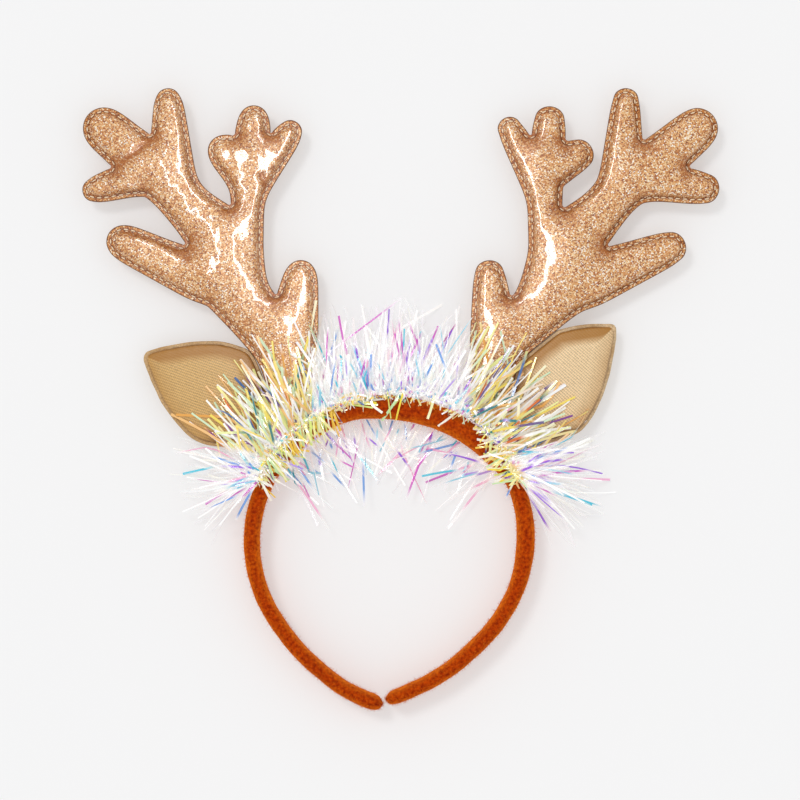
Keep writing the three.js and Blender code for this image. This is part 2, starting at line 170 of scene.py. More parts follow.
def select_only(*objects):
    bpy.ops.object.select_all(action="DESELECT")
    for obj in objects:
        obj.select_set(True)
    bpy.context.view_layer.objects.active = objects[0]


def apply_place(obj):
    select_only(obj)
    bpy.ops.object.transform_apply(location=True, rotation=True, scale=True)


def join(objects, name):
    select_only(*objects)
    bpy.ops.object.join()
    whole = bpy.context.object
    whole.name = name
    apply_place(whole)
    return whole


def drop(obj):
    bpy.data.objects.remove(obj, do_unlink=True)


def vertices_of(obj):
    places = np.empty(len(obj.data.vertices) * 3)
    obj.data.vertices.foreach_get("co", places)
    return places.reshape(-1, 3)


def set_vertices(obj, places):
    obj.data.vertices.foreach_set("co", places.reshape(-1))
    obj.data.update()


def apply_modifier(obj, kind, **settings):
    select_only(obj)
    modifier = obj.modifiers.new(kind.title(), kind)
    for key, value in settings.items():
        setattr(modifier, key, value)
    bpy.ops.object.modifier_apply(modifier=modifier.name)


def mesh_object(name, places, faces, material):
    mesh = bpy.data.meshes.new(name)
    mesh.from_pydata([tuple(place) for place in places], [], faces)
    mesh.update()
    obj = bpy.data.objects.new(name, mesh)
    bpy.context.scene.collection.objects.link(obj)
    mesh.materials.append(material)
    return obj


def store(obj, name, values):
    layer = obj.data.attributes.new(name, "FLOAT", "POINT")
    layer.data.foreach_set("value", np.asarray(values, np.float32))


def store_colour(obj, name, values):
    layer = obj.data.attributes.new(name, "FLOAT_COLOR", "POINT")
    layer.data.foreach_set("color", np.asarray(values, np.float32).reshape(-1))


# Outlines, as closed loops of points seen from above

def resample(loop, pitch):
    closed = np.vstack([loop, loop[:1]])
    steps = np.linalg.norm(np.diff(closed, axis=0), axis=1)
    reach = np.concatenate([[0], np.cumsum(steps)])
    count = max(8, int(round(reach[-1] / pitch)))
    at = np.linspace(0, reach[-1], count, endpoint=False)
    return np.column_stack([np.interp(at, reach, closed[:, axis]) for axis in (0, 1)])


def relax(loop, rounds):
    for _ in range(rounds):
        loop = 0.25 * np.roll(loop, 1, 0) + 0.5 * loop + 0.25 * np.roll(loop, -1, 0)
    return loop


def smooth_outline(loop, limit):
    """Rounds shallow corners widely; what would move more than the limit stays as it is."""
    light, wide, final = 8, 70, 3
    fade = 0.3
    loop = relax(loop, light)
    for _ in range(2):
        heavy = relax(loop, wide)
        moved = np.linalg.norm(heavy - loop, axis=1) / MM
        share = np.clip((limit - moved) / fade, 0, 1)[:, None]
        loop = relax(loop + share * (heavy - loop), final)
    return loop


def loop_normals(loop):
    """Unit normals that point out of an anticlockwise loop."""
    ahead = np.roll(loop, -1, 0) - np.roll(loop, 1, 0)
    out = np.column_stack([ahead[:, 1], -ahead[:, 0]])
    return out / np.linalg.norm(out, axis=1)[:, None]


def anticlockwise(loop):
    x, y = loop.T
    area = 0.5 * np.sum(x * np.roll(y, -1) - np.roll(x, -1) * y)
    return loop if area > 0 else loop[::-1]


def inset(loop, distance):
    pitch = 0.6 * MM
    moved = loop - distance * loop_normals(loop)
    return relax(resample(relax(moved, 3), pitch), 3)


def tube_ends(name):
    """Start, end and both radii of each tube of an antler."""
    side = side_of(name)
    turn = side * ANTLER_TURN
    foot = on_ring(turn, ring_reach(turn) + ring_half_padding(turn) + FOOT_LIFT)
    ends = []
    for x, y, r, to_x, to_y, to_r in TUBES[name]:
        start = foot + ANTLER_HEIGHT * np.array([side * x, y])
        end = foot + ANTLER_HEIGHT * np.array([side * to_x, to_y])
        ends.append((start, end, r * PALM_RADIUS, to_r * PALM_RADIUS))
    return ends


def tube_depth(name, places):
    """How far each place is inside an antler's outline; negative outside."""
    deepest = np.full(len(places), -1.0)
    for start, end, r, to_r in tube_ends(name):
        axis = end - start
        share = np.clip((places - start) @ axis / (axis @ axis), 0, 1)
        away = np.linalg.norm(places - start - share[:, None] * axis, axis=1)
        deepest = np.maximum(deepest, r + (to_r - r) * share - away)
    return deepest


def clear_of_band(loop):
    """Moves the points of a loop that lie in the padding out to its outer face."""
    moved = loop.copy()
    for i, place in enumerate(loop):
        x, y = place - RING_CENTRE
        turn = math.degrees(math.atan2(x, y))
        radius = math.hypot(x, y)
        least = ring_reach(turn) + ring_half_padding(turn) + GAP
        if radius < least:
            moved[i] = on_ring(turn, least)
    return moved


def clear_of_antler(name, loop):
    """Moves the points of a loop that lie under an antler out to its edge."""
    moved = loop.copy()
    nudge = 0.05 * MM
    for _ in range(12):
        depth = tube_depth(name, moved)
        slope_x = tube_depth(name, moved + [nudge, 0]) - depth
        slope_y = tube_depth(name, moved + [0, nudge]) - depth
        slope = np.column_stack([slope_x, slope_y])
        length = np.maximum(np.linalg.norm(slope, axis=1), 1e-9)[:, None]
        inside = np.maximum(depth + GAP, 0)[:, None]
        moved = moved - inside * slope / length
    return moved


# How far the sewn edge lies outside the solid's outline
OUTLINE_GROWTH = {"left": 0.5 * MM, "right": 0.2 * MM}
# How far a corner of the edge may move when it is rounded, in mm
ROUNDING = {"left": 0.8, "right": 0.6}


def antler_outline(name):
    """Joins the tubes as solids, cuts them at mid height and reads the cut's edge."""
    plates = []
    depth = 8 * MM
    for start, end, r, to_r in tube_ends(name):
        ends = []
        for place, radius in ((start, r), (end, to_r)):
            bpy.ops.object.select_all(action="DESELECT")
            bpy.ops.mesh.primitive_cylinder_add(
                vertices=72, radius=radius, depth=depth, location=(place[0], place[1], 0)
            )
            ends.append(bpy.context.object)
        plate = join(ends, "plate")
        bpy.ops.object.mode_set(mode="EDIT")
        bpy.ops.mesh.select_all(action="SELECT")
        bpy.ops.mesh.convex_hull()
        bpy.ops.object.mode_set(mode="OBJECT")
        plates.append(plate)
    whole = plates[0]
    for plate in plates[1:]:
        apply_modifier(whole, "BOOLEAN", operation="UNION", object=plate, solver="MANIFOLD")
        drop(plate)
    select_only(whole)
    bpy.ops.object.mode_set(mode="EDIT")
    bpy.ops.mesh.select_all(action="SELECT")
    bpy.ops.mesh.bisect(
        plane_co=(0, 0, 0), plane_no=(0, 0, 1), use_fill=True, clear_inner=True, clear_outer=True
    )
    bpy.ops.object.mode_set(mode="OBJECT")
    face = max(whole.data.polygons, key=lambda polygon: len(polygon.vertices))
    loop = np.array([whole.data.vertices[i].co[:2] for i in face.vertices])
    drop(whole)
    loop = resample(anticlockwise(loop), 0.5 * MM)
    return clear_of_band(inset(smooth_outline(loop, ROUNDING[name]), -OUTLINE_GROWTH[name]))


def ear_root(name):
    turn = side_of(name) * EAR_TURN
    return on_ring(turn, ring_reach(turn) + ring_half_padding(turn))


def ear_outline(name):
    rows = EAR_SLICES[name]
    side = side_of(name)
    root = ear_root(name)
    first, last = rows[0][0], rows[-1][0]
    sweep = first + (last - first) * (0.5 - 0.5 * np.cos(np.linspace(0, math.pi, 60)))
    edges = []
    for column, places in ((1, sweep), (2, sweep[::-1])):
        for along in places:
            up = smooth_read(rows, column, along)
            edges.append(root + [side * along * EAR_LENGTH, up * EAR_WIDTH])
    loop = resample(anticlockwise(np.array(edges)), 0.5 * MM)
    loop = clear_of_antler(name, relax(loop, 1))
    return relax(clear_of_band(loop), 1)


def loop_distance(loop, places):
    """Distance from each place to a loop's nearest point seen from above, and its number."""
    tree = KDTree(len(loop))
    for i, (x, y) in enumerate(loop):
        tree.insert((x, y, 0), i)
    tree.balance()
    found = [tree.find((x, y, 0)) for x, y in places]
    return np.array([hit[2] for hit in found]), np.array([hit[1] for hit in found])


# Sewn shapes

def slab(name, loop, middle, thickness, rounding):
    """A flat piece with a rounded edge, from a filled outline."""
    curve = bpy.data.curves.new(name, "CURVE")
    curve.dimensions = "2D"
    curve.fill_mode = "BOTH"
    curve.extrude = 0.5 * thickness - rounding
    curve.bevel_depth = rounding
    curve.bevel_resolution = 2
    curve.offset = -rounding
    spline = curve.splines.new("POLY")
    spline.points.add(len(loop) - 1)
    flat = np.column_stack([loop, np.zeros(len(loop)), np.ones(len(loop))])
    spline.points.foreach_set("co", flat.reshape(-1))
    spline.use_cyclic_u = True
    obj = bpy.data.objects.new(name, curve)
    bpy.context.scene.collection.objects.link(obj)
    select_only(obj)
    bpy.ops.object.convert(target="MESH")
    obj = bpy.context.object
    obj.location.z = middle
    apply_place(obj)
    select_only(obj)
    bpy.ops.object.mode_set(mode="EDIT")
    bpy.ops.mesh.select_all(action="SELECT")
    bpy.ops.mesh.remove_doubles(threshold=0.02 * MM)
    bpy.ops.mesh.normals_make_consistent(inside=False)
    bpy.ops.object.mode_set(mode="OBJECT")
    return obj


def inflate(obj, rim, pressure, frames):
    """Blows the pad up as cloth, held along its rim; gives its points before and after."""
    rest = vertices_of(obj)
    set_vertices(obj, rest * SIM_SCALE)
    group = obj.vertex_groups.new(name="rim")
    group.add([int(i) for i in np.flatnonzero(rim)], 1.0, "REPLACE")
    select_only(obj)
    cloth = obj.modifiers.new("Cloth", "CLOTH")
    settings = cloth.settings
    settings.quality = 5
    settings.mass = 0.3
    settings.tension_stiffness = 12
    settings.compression_stiffness = 12
    settings.shear_stiffness = 6
    settings.bending_stiffness = 0.4
    settings.use_pressure = True
    settings.uniform_pressure_force = pressure
    settings.vertex_group_mass = "rim"
    settings.effector_weights.gravity = 0
    cloth.collision_settings.use_collision = False
    cloth.collision_settings.use_self_collision = False
    cloth.point_cache.frame_start = 1
    cloth.point_cache.frame_end = frames
    for step in range(1, frames + 1):
        bpy.context.scene.frame_set(step)
    bpy.ops.object.modifier_apply(modifier=cloth.name)
    bpy.context.scene.frame_set(1)
    blown = vertices_of(obj) / SIM_SCALE
    obj.vertex_groups.clear()
    return rest, blown


def lumps(places, size, amount):
    """Soft unevenness of the given size at each place."""
    return amount * np.array([noise_field.noise(Vector(place) / size) for place in places])


def smooth_pad(pad, chosen, rounds):
    """Evens out the chosen points of a pad."""
    select_only(pad)
    pad.data.polygons.foreach_set("select", np.full(len(pad.data.polygons), False))
    pad.data.edges.foreach_set("select", np.full(len(pad.data.edges), False))
    pad.data.vertices.foreach_set("select", chosen)
    bpy.ops.object.mode_set(mode="EDIT")
    bpy.ops.mesh.select_mode(type="VERT")
    bpy.ops.mesh.vertices_smooth(factor=0.5, repeat=rounds)
    bpy.ops.object.mode_set(mode="OBJECT")


def stuffed(name, loop, middle, half_depth, fullness, pressure, cap, creasing):
    """A pad inside a stitched outline, remeshed, blown up and brought to its depth."""
    thin = 2.2 * MM
    rounding = 0.8 * MM
    cell = 1.1 * MM
    held = 0.8 * MM
    frames = 20
    dip = 0.05
    crease_size = 3.4 * MM
    pad = slab(name, loop, 0, thin, rounding)
    pad.data.remesh_voxel_size = cell
    select_only(pad)
    bpy.ops.object.voxel_remesh()
    rest = vertices_of(pad)
    away, _ = loop_distance(loop, rest[:, :2])
    rim = away < held
    rest, blown = inflate(pad, rim, pressure, frames)
    moved = blown - rest
    length = np.maximum(np.linalg.norm(moved, axis=1), 1e-9)
    moved *= np.minimum(1, cap / length)[:, None]
    blown = rest + moved
    height = np.abs(blown[:, 2])
    fullest = np.percentile(height, 99.5)
    shape = np.minimum(height / fullest, 1) ** fullness
    uneven = lumps(blown, 9 * MM, 0.055) + lumps(blown, 4 * MM, 0.028)
    shape = shape * (1 - dip + np.minimum(uneven * 1.5, dip))
    blown[:, 2] = middle + np.sign(blown[:, 2]) * shape * half_depth
    set_vertices(pad, blown)
    smooth_pad(pad, np.full(len(blown), True), 3)
    smooth_pad(pad, away > 3.2 * MM, 22)
    places = vertices_of(pad)
    within = np.clip((away - 2 * MM) / (4 * MM), 0, 1)
    outwards = np.sign(places[:, 2] - middle)
    places[:, 2] += outwards * within * lumps(places, crease_size, creasing)
    set_vertices(pad, places)
    apply_modifier(pad, "SUBSURF", levels=1, render_levels=1)
    select_only(pad)
    bpy.ops.object.shade_smooth()
    return pad


# Materials

class Value:
    """A socket of a shader, which can be used in sums."""

    def __init__(self, sheet, socket):
        self.sheet = sheet
        self.socket = socket

    def _math(self, operation, first, second):
        return self.sheet.node("ShaderNodeMath", {"operation": operation}, {0: first, 1: second})

    def __add__(self, other):
        return self._math("ADD", self, other)

    def __radd__(self, other):
        return self._math("ADD", other, self)

    def __sub__(self, other):
        return self._math("SUBTRACT", self, other)

    def __rsub__(self, other):
        return self._math("SUBTRACT", other, self)

    def __mul__(self, other):
        return self._math("MULTIPLY", self, other)

    def __rmul__(self, other):
        return self._math("MULTIPLY", other, self)

    def __truediv__(self, other):
        return self._math("DIVIDE", self, other)

    def __rtruediv__(self, other):
        return self._math("DIVIDE", other, self)

    def clamped(self):
        return self.sheet.node("ShaderNodeClamp", {}, {0: self, 1: 0.0, 2: 1.0})


class Finish:
    """A material and its nodes."""

    def __init__(self, name):
        self.material = bpy.data.materials.new(name)
        self.material.use_nodes = True
        self.tree = self.material.node_tree
        self.tree.nodes.clear()

    def node(self, kind, settings, inputs, output=0):
        node = self.tree.nodes.new(kind)
        for key, value in settings.items():
            if key == "stops":
                self._stops(node.color_ramp, value)
            else:
                setattr(node, key, value)
        for key, value in inputs.items():
            if isinstance(value, Value):
                self.tree.links.new(value.socket, node.inputs[key])
            else:
                node.inputs[key].default_value = value
        return Value(self, node.outputs[output])

    @staticmethod
    def _stops(ramp, stops):
        ramp.interpolation = stops[0]
        rows = stops[1]
        while len(ramp.elements) < len(rows):
            ramp.elements.new(1.0)
        for element, (place, colour) in zip(ramp.elements, rows):
            element.position = place
            element.color = (*colour, 1.0)

    def mix(self, share, first, second):
        first = first if isinstance(first, Value) else (*first, 1.0)
        second = second if isinstance(second, Value) else (*second, 1.0)
        return self.node("ShaderNodeMix", {"data_type": "RGBA"}, {0: share, 6: first, 7: second}, 2)

    def place(self):
        return self.node("ShaderNodeTexCoord", {}, {}, 3)

    def attribute(self, name, output=2):
        return self.node("ShaderNodeAttribute", {"attribute_name": name}, {}, output)

    def noise(self, scale, detail=2.0):
        inputs = {"Vector": self.place(), "Scale": scale, "Detail": detail}
        return self.node("ShaderNodeTexNoise", {}, inputs)

    def bump(self, height, strength, distance):
        inputs = {"Height": height, "Strength": strength, "Distance": distance}
        return self.node("ShaderNodeBump", {}, inputs)

    def finish(self, **inputs):
        named = {key.replace("_", " "): value for key, value in inputs.items()}
        for key, value in named.items():
            if isinstance(value, tuple) and len(value) == 3:
                named[key] = (*value, 1.0)
        shader = self.node("ShaderNodeBsdfPrincipled", {}, named)
        output = self.tree.nodes.new("ShaderNodeOutputMaterial")
        self.tree.links.new(shader.socket, output.inputs[0])
        return self.material


def glitter_vinyl():
    """Copper flakes of mixed colours under clear gloss, deeper in colour at the seam: partly the
    vinyl's own colour, partly painted shade where the pad dips to the stitches, with painted shade in
    the crotches and folds.
    """
    paint = Finish("glitter_vinyl")
    flake = {"Vector": paint.place(), "Scale": 2150.0}
    gap = paint.node("ShaderNodeTexVoronoi", {"feature": "F1"}, flake, 0)
    tint = paint.node("ShaderNodeTexVoronoi", {"feature": "F1"}, flake, 1)
    pick = paint.node("ShaderNodeSeparateColor", {}, {0: tint}, 0)
    tip = paint.node("ShaderNodeSeparateColor", {}, {0: tint}, 1)
    speck = paint.node("ShaderNodeValToRGB", {"stops": ("CONSTANT", [
        (0.0, (0.24, 0.055, 0.008)), (0.10, (0.44, 0.135, 0.022)), (0.26, (0.62, 0.25, 0.060)),
        (0.47, (0.75, 0.385, 0.125)), (0.69, (0.86, 0.57, 0.28)), (0.86, (0.97, 0.82, 0.60)),
        (0.95, (1.0, 0.98, 0.92)),
    ])}, {0: pick})
    # Deep ramp near the seam: partly the vinyl's own colour, partly painted shade
    deep = paint.node("ShaderNodeValToRGB", {"stops": ("CONSTANT", [
        (0.0, (0.15, 0.03, 0.003)), (0.14, (0.36, 0.10, 0.012)), (0.40, (0.56, 0.20, 0.032)),
        (0.70, (0.72, 0.38, 0.12)), (0.90, (0.92, 0.72, 0.48)),
    ])}, {0: pick})
    patches = paint.noise(150.0, 3.0)
    wide = paint.noise(22.0, 1.0)
    seam = paint.attribute("seam")
    near = (1.0 - (seam - 1.0) / 5.2).clamped()
    pinch = paint.attribute("pinch")
    share = (near * (2.6 * patches - 0.5) + 0.9 * (wide - 0.5) + 1.3 * pinch).clamped()
    # Painted shade: crotches and folds are darkened to dark rust
    colour = paint.mix((0.75 * pinch).clamped(), paint.mix(share, speck, deep), (0.36, 0.095, 0.006))
    tilt = paint.bump(gap + 0.6 * tip, 0.22, 0.2 * MM)
    gloss = (0.12 + (seam - 2.4) / 1.6).clamped() * (0.42 + 0.58 * pick) * (1.0 - 0.75 * pinch)
    return paint.finish(
        Base_Color=colour, Metallic=0.06, Roughness=0.45, Normal=tilt,
        Coat_Weight=gloss, Coat_Roughness=0.07, Coat_IOR=1.65,
    )


def backing_cloth():
    """Dark brown edge of the layers under the vinyl."""
    paint = Finish("backing_cloth")
    grain = paint.noise(900.0, 2.0)
    colour = paint.mix(grain, (0.10, 0.035, 0.012), (0.24, 0.10, 0.04))
    return paint.finish(Base_Color=colour, Roughness=0.85, Normal=paint.bump(grain, 0.5, 0.2 * MM))


def seam_thread(name, dark, pale):
    paint = Finish(name)
    grain = paint.noise(2200.0, 1.0)
    colour = paint.mix(grain, dark, pale)
    return paint.finish(Base_Color=colour, Roughness=0.6, Normal=paint.bump(grain, 0.6, 0.1 * MM))


def satin_twill(name, lean, cross, pale):
    """Tan satin with fine diagonal ribs, with a darker gold painted shade along its seam that is
    strongest under the upper edge, and painted shade along the seam line and in the hollows.
    """
    paint = Finish(name)
    place = paint.place()
    x = paint.node("ShaderNodeSeparateXYZ", {}, {0: place}, 0)
    y = paint.node("ShaderNodeSeparateXYZ", {}, {0: place}, 1)
    wander = 0.22 * MM * paint.noise(300.0, 2.0)
    pitch = 1.12 * MM

    def ribs(degrees, pitch):
        angle = math.radians(degrees)
        across = (x * math.sin(angle) + y * math.cos(angle) + wander) * (2 * math.pi / pitch)
        return 0.5 + 0.5 * paint.node("ShaderNodeMath", {"operation": "SINE"}, {0: across})

    weave = 0.62 * ribs(lean, pitch) + 0.38 * ribs(cross, 0.75 * pitch)
    grain = paint.noise(2100.0, 2.0)
    dark = tuple(0.44 * part for part in pale)
    base = paint.mix((weave * 0.9 + 1.4 * grain - 0.52).clamped(), dark, pale)
    # Painted shade: darker gold near the seam, more along the upper edges
    seam = paint.attribute("seam")
    patches = paint.noise(42.0, 2.0)
    near = (1.0 - (seam - 1.6) / 7.5).clamped()
    upper = paint.attribute("upper")
    share = near * (0.45 + 1.5 * upper) * (1.9 * patches + 0.1)
    under_rim_shade = paint.mix(share.clamped(), base, (0.40, 0.175, 0.022))
    # Painted shade: a dark line along the seam next to the piping, and in the hollows
    groove_shade = (1.0 - (seam - 1.5) / 0.8).clamped() * (3.2 * patches - 1.1).clamped()
    hollow = paint.attribute("hollow")
    shade = paint.mix((groove_shade + hollow).clamped(), under_rim_shade, (0.15, 0.055, 0.008))
    return paint.finish(
        Base_Color=shade, Roughness=0.55, Normal=paint.bump(weave, 0.6, 0.16 * MM),
        Sheen_Weight=0.15, Sheen_Roughness=0.4, Sheen_Tint=(1.0, 0.9, 0.75),
    )


def ear_piping(name, pale):
    """The turned edge of an ear, ribbed across and rubbed paler in places."""
    paint = Finish(name)
    grain = paint.noise(1500.0, 3.0)
    patches = paint.noise(120.0, 2.0)
    dark = tuple(0.42 * part for part in pale)
    base = paint.mix((2.4 * grain - 0.7).clamped(), dark, pale)
    colour = paint.mix((1.6 * patches - 0.4).clamped(), base, (0.42, 0.22, 0.06))
    return paint.finish(
        Base_Color=colour, Roughness=0.6, Normal=paint.bump(grain, 0.6, 0.25 * MM), Sheen_Weight=0.1,
    )


def rust_felt():
    """Rust brown felt, deep red brown on top and lighter where the nap turns away: the lighter sides
    are a painted sheen.
    """
    paint = Finish("rust_felt")
    # How far the surface turns to the sides, which drives the painted sheen
    rim = paint.attribute("turned")
    nap = paint.noise(700.0, 4.0)
    patches = paint.noise(60.0, 3.0)
    strands = (2.2 * nap - 0.6).clamped()
    dark = paint.mix(strands, (0.20, 0.008, 0.0003), (0.60, 0.070, 0.001))
    light = paint.mix(strands, (0.45, 0.050, 0.001), (0.92, 0.24, 0.006))
    share = (rim * 1.1 + 0.9 * (patches - 0.5)).clamped()
    colour = paint.mix(share, dark, light)
    return paint.finish(
        Base_Color=colour, Roughness=0.95, Normal=paint.bump(nap, 0.8, 0.5 * MM),
        Sheen_Weight=0.12, Sheen_Roughness=0.5, Sheen_Tint=(1.0, 0.35, 0.06),
        Specular_IOR_Level=0.05,
    )


def felt_fuzz():
    paint = Finish("felt_fuzz")
    grain = paint.noise(300.0, 1.0)
    colour = paint.mix(grain, (0.44, 0.075, 0.002), (0.85, 0.26, 0.015))
    return paint.finish(Base_Color=colour, Roughness=0.9, Specular_IOR_Level=0.1)


def tinsel_film():
    """Clear film whose colour changes along each strip, with a painted glow from its emission."""
    paint = Finish("tinsel_film")
    tint = paint.attribute("tint", 0)
    clear = paint.attribute("tint", 3)
    return paint.finish(
        Base_Color=tint, Roughness=0.22, Alpha=clear, Coat_Weight=0.3, Coat_Roughness=0.1,
        Emission_Color=paint.attribute("glow", 0), Emission_Strength=1.0,
        Thin_Film_Thickness=380.0, Thin_Film_IOR=1.5,
    )


# Pieces

def ride(obj, slot, *nodes):
    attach(obj, "root")
    if nodes:
        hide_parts(*nodes)


def fold_depth(places, folds):
    """How far in one of the folds each place lies, from 0 outside to 1 along its line."""
    depth = np.zeros(len(places))
    for start, end, wide in folds:
        begin = np.array(start) * MM
        run = np.array(end) * MM - begin
        share = np.clip((places[:, :2] - begin) @ run / (run @ run), 0, 1)
        off = np.linalg.norm(places[:, :2] - begin - np.outer(share, run), axis=1)
        depth = np.maximum(depth, np.exp(-(off / (wide * MM)) ** 2))
    return depth


def seam_distance(obj, outline, folds=()):
    """Stores how far each point is from the seam, and how much a notch or fold pinches it, for the
    painted shade there.
    """
    line = resample(outline, 0.2 * MM)
    span = 12
    sharp = 0.8
    notch_reach = 5.5 * MM
    behind = line - np.roll(line, span, 0)
    ahead = np.roll(line, -span, 0) - line
    cross = behind[:, 0] * ahead[:, 1] - behind[:, 1] * ahead[:, 0]
    bend = np.arctan2(cross, (behind * ahead).sum(axis=1))
    notch = np.clip(-bend / sharp, 0, 1)
    away, nearest = loop_distance(line, vertices_of(obj)[:, :2])
    store(obj, "seam", away / MM)
    # Share of painted shade at concave notches of the seam and along the folds
    pinch = notch[nearest] * np.exp(-(away / notch_reach) ** 2)
    store(obj, "pinch", np.maximum(pinch, 0.9 * fold_depth(vertices_of(obj), folds)))


def stitches(name, loop, heights, size, material):
    """Short rounded stitches, or the dark sunk spots of painted shade round them, along a loop on both
    faces.
    """
    pitch = 3.2 * MM
    radius = 0.5 * size[1]
    count = int(sum(np.linalg.norm(np.roll(loop, -1, 0) - loop, axis=1)) / pitch)
    line = resample(loop, 0.2 * MM)
    bpy.ops.object.select_all(action="DESELECT")
    bpy.ops.mesh.primitive_uv_sphere_add(segments=8, ring_count=6, radius=radius)
    pattern = bpy.context.object
    bpy.ops.transform.resize(value=(size[0] / size[1], 1, size[2] / size[1]))
    apply_place(pattern)
    shape = vertices_of(pattern)
    faces = [tuple(polygon.vertices) for polygon in pattern.data.polygons]
    drop(pattern)
    places, cells = [], []
    for height in heights:
        for i in range(count):
            at = int((i + 0.5) / count * len(line))
            ahead = line[(at + 3) % len(line)] - line[at - 3]
            ahead = ahead / np.linalg.norm(ahead)
            turned = np.column_stack([
                shape[:, 0] * ahead[0] - shape[:, 1] * ahead[1] + line[at][0],
                shape[:, 0] * ahead[1] + shape[:, 1] * ahead[0] + line[at][1],
                shape[:, 2] + height,
            ])
            first = len(places) * len(shape)
            places.append(turned)
            cells += [tuple(first + v for v in cell) for cell in faces]
    return mesh_object(name, np.vstack(places), cells, material)


# Depth of the fine creases in each antler's padding
ANTLER_CREASING = {"left": 0.26 * MM, "right": 0.14 * MM}
# Folds across the tines, pressed in and darkened with painted shade: first and last place and half
# width, in mm
FOLDS = {
    "left": [
        ((-126.5, 99.5), (-108.5, 113.0), 2.0), ((-123.0, 73.0), (-108.0, 70.0), 1.5),
        ((-108.0, 70.0), (-93.0, 61.0), 1.8), ((-61.0, 97.0), (-57.5, 88.0), 1.6),
    ],
    "right": [],
}


def build_antler(name, vinyl, backing, thread, groove_shade):
    outline = antler_outline(name)
    middle = 0.5 * ANTLER_DEPTH
    edge_thickness = 0.9 * MM
    edge_rounding = 0.3 * MM
    flange = 1.8 * MM
    flange_inset = 0.28 * MM
    flange_rounding = 0.35 * MM
    fullness, pressure, cap = 0.9, 5.0, 9 * MM
    fold_drop = 0.8 * MM
    shade_mark_size = (3.5 * MM, 1.15 * MM, 0.16 * MM)
    thread_size = (2.2 * MM, 0.66 * MM, 0.4 * MM)
    thread_rise = 0.12 * MM
    edge = slab(f"antler_{name}_backing", outline, middle, edge_thickness, edge_rounding)
    edge.data.materials.append(backing)
    sheet_loop = inset(outline, flange_inset)
    sheet = slab(f"antler_{name}_seam", sheet_loop, middle, flange, flange_rounding)
    sheet.data.materials.append(vinyl)
    seam_distance(sheet, outline)
    pad = stuffed(
        f"antler_{name}_pad", inset(outline, PAD_INSET), middle, 0.5 * ANTLER_DEPTH,
        fullness, pressure, cap, ANTLER_CREASING[name],
    )
    places = vertices_of(pad)
    outwards = np.sign(places[:, 2] - middle)
    places[:, 2] -= fold_drop * fold_depth(places, FOLDS[name]) * outwards
    set_vertices(pad, places)
    pad.data.materials.append(vinyl)
    seam_distance(pad, outline, FOLDS[name])
    track = inset(outline, STITCH_INSET)
    face = 0.5 * flange
    # Dark spots round the stitches: painted shade where the thread sinks in
    shade_marks = stitches(
        f"antler_{name}_marks", track, (middle + face, middle - face), shade_mark_size, groove_shade,
    )
    sewing = stitches(
        f"antler_{name}_stitches", track,
        (middle + face + thread_rise, middle - face - thread_rise), thread_size, thread,
    )
    for piece in (edge, sheet, shade_marks, sewing):
        ride(piece, "glitter_vinyl")
    ride(pad, "glitter_vinyl", f"antler_{name}")
    return [pad, sheet]


# Hollows in each ear: along as a share of EAR_LENGTH, up as a share of EAR_WIDTH,
# reach along and across in metres, and how dark their painted shade is
EAR_HOLLOWS = {
    "left": [(0.36, 0.18, 5.5 * MM, 2.2 * MM, 0.9), (0.10, 0.55, 3.0 * MM, 6.0 * MM, 0.6)],
    "right": [(0.06, 0.52, 1.2 * MM, 5.0 * MM, 0.9), (0.46, 0.24, 7.0 * MM, 2.4 * MM, 0.7)],
}


def dent(name, pad):
    """Presses the hollows into an ear and stores how deep each place lies, as the strength of its
    painted shade.
    """
    root = ear_root(name)
    places = vertices_of(pad)
    depth = np.zeros(len(places))
    for along, up, wide, high, dark in EAR_HOLLOWS[name]:
        x = places[:, 0] - root[0] - side_of(name) * along * EAR_LENGTH
        y = places[:, 1] - root[1] - up * EAR_WIDTH
        depth = np.maximum(depth, dark * np.exp(-(x / wide) ** 2 - (y / high) ** 2))
    middle = 0.5 * BAND_HEIGHT
    press = 0.45
    above = places[:, 2] > middle
    places[above, 2] -= press * depth[above] * (places[above, 2] - middle)
    set_vertices(pad, places)
    store(pad, "hollow", np.where(above, depth, 0))


def build_ear(name, satin, piping):
    outline = ear_outline(name)
    middle = 0.5 * BAND_HEIGHT
    rim_thickness = 2.0 * MM
    rim_rounding = 0.8 * MM
    fullness, pressure, cap = 0.7, 3.0, 6 * MM
    creasing = 0.1 * MM
    rim = slab(f"ear_{name}_piping", outline, middle, rim_thickness, rim_rounding)
    rim.data.materials.append(piping)
    pad = stuffed(
        f"ear_{name}_pad", inset(outline, EAR_RIM), middle, 0.5 * EAR_DEPTH,
        fullness, pressure, cap, creasing,
    )
    pad.data.materials.append(satin)
    seam_distance(pad, outline)
    _, nearest = loop_distance(outline, vertices_of(pad)[:, :2])
    # Upper edges take more of the painted shade under the rim
    store(pad, "upper", np.clip(loop_normals(outline)[nearest, 1], 0, 1))
    dent(name, pad)
    ride(rim, "satin_twill")
    ride(pad, "satin_twill", f"ear_{name}")
    return [pad, rim]


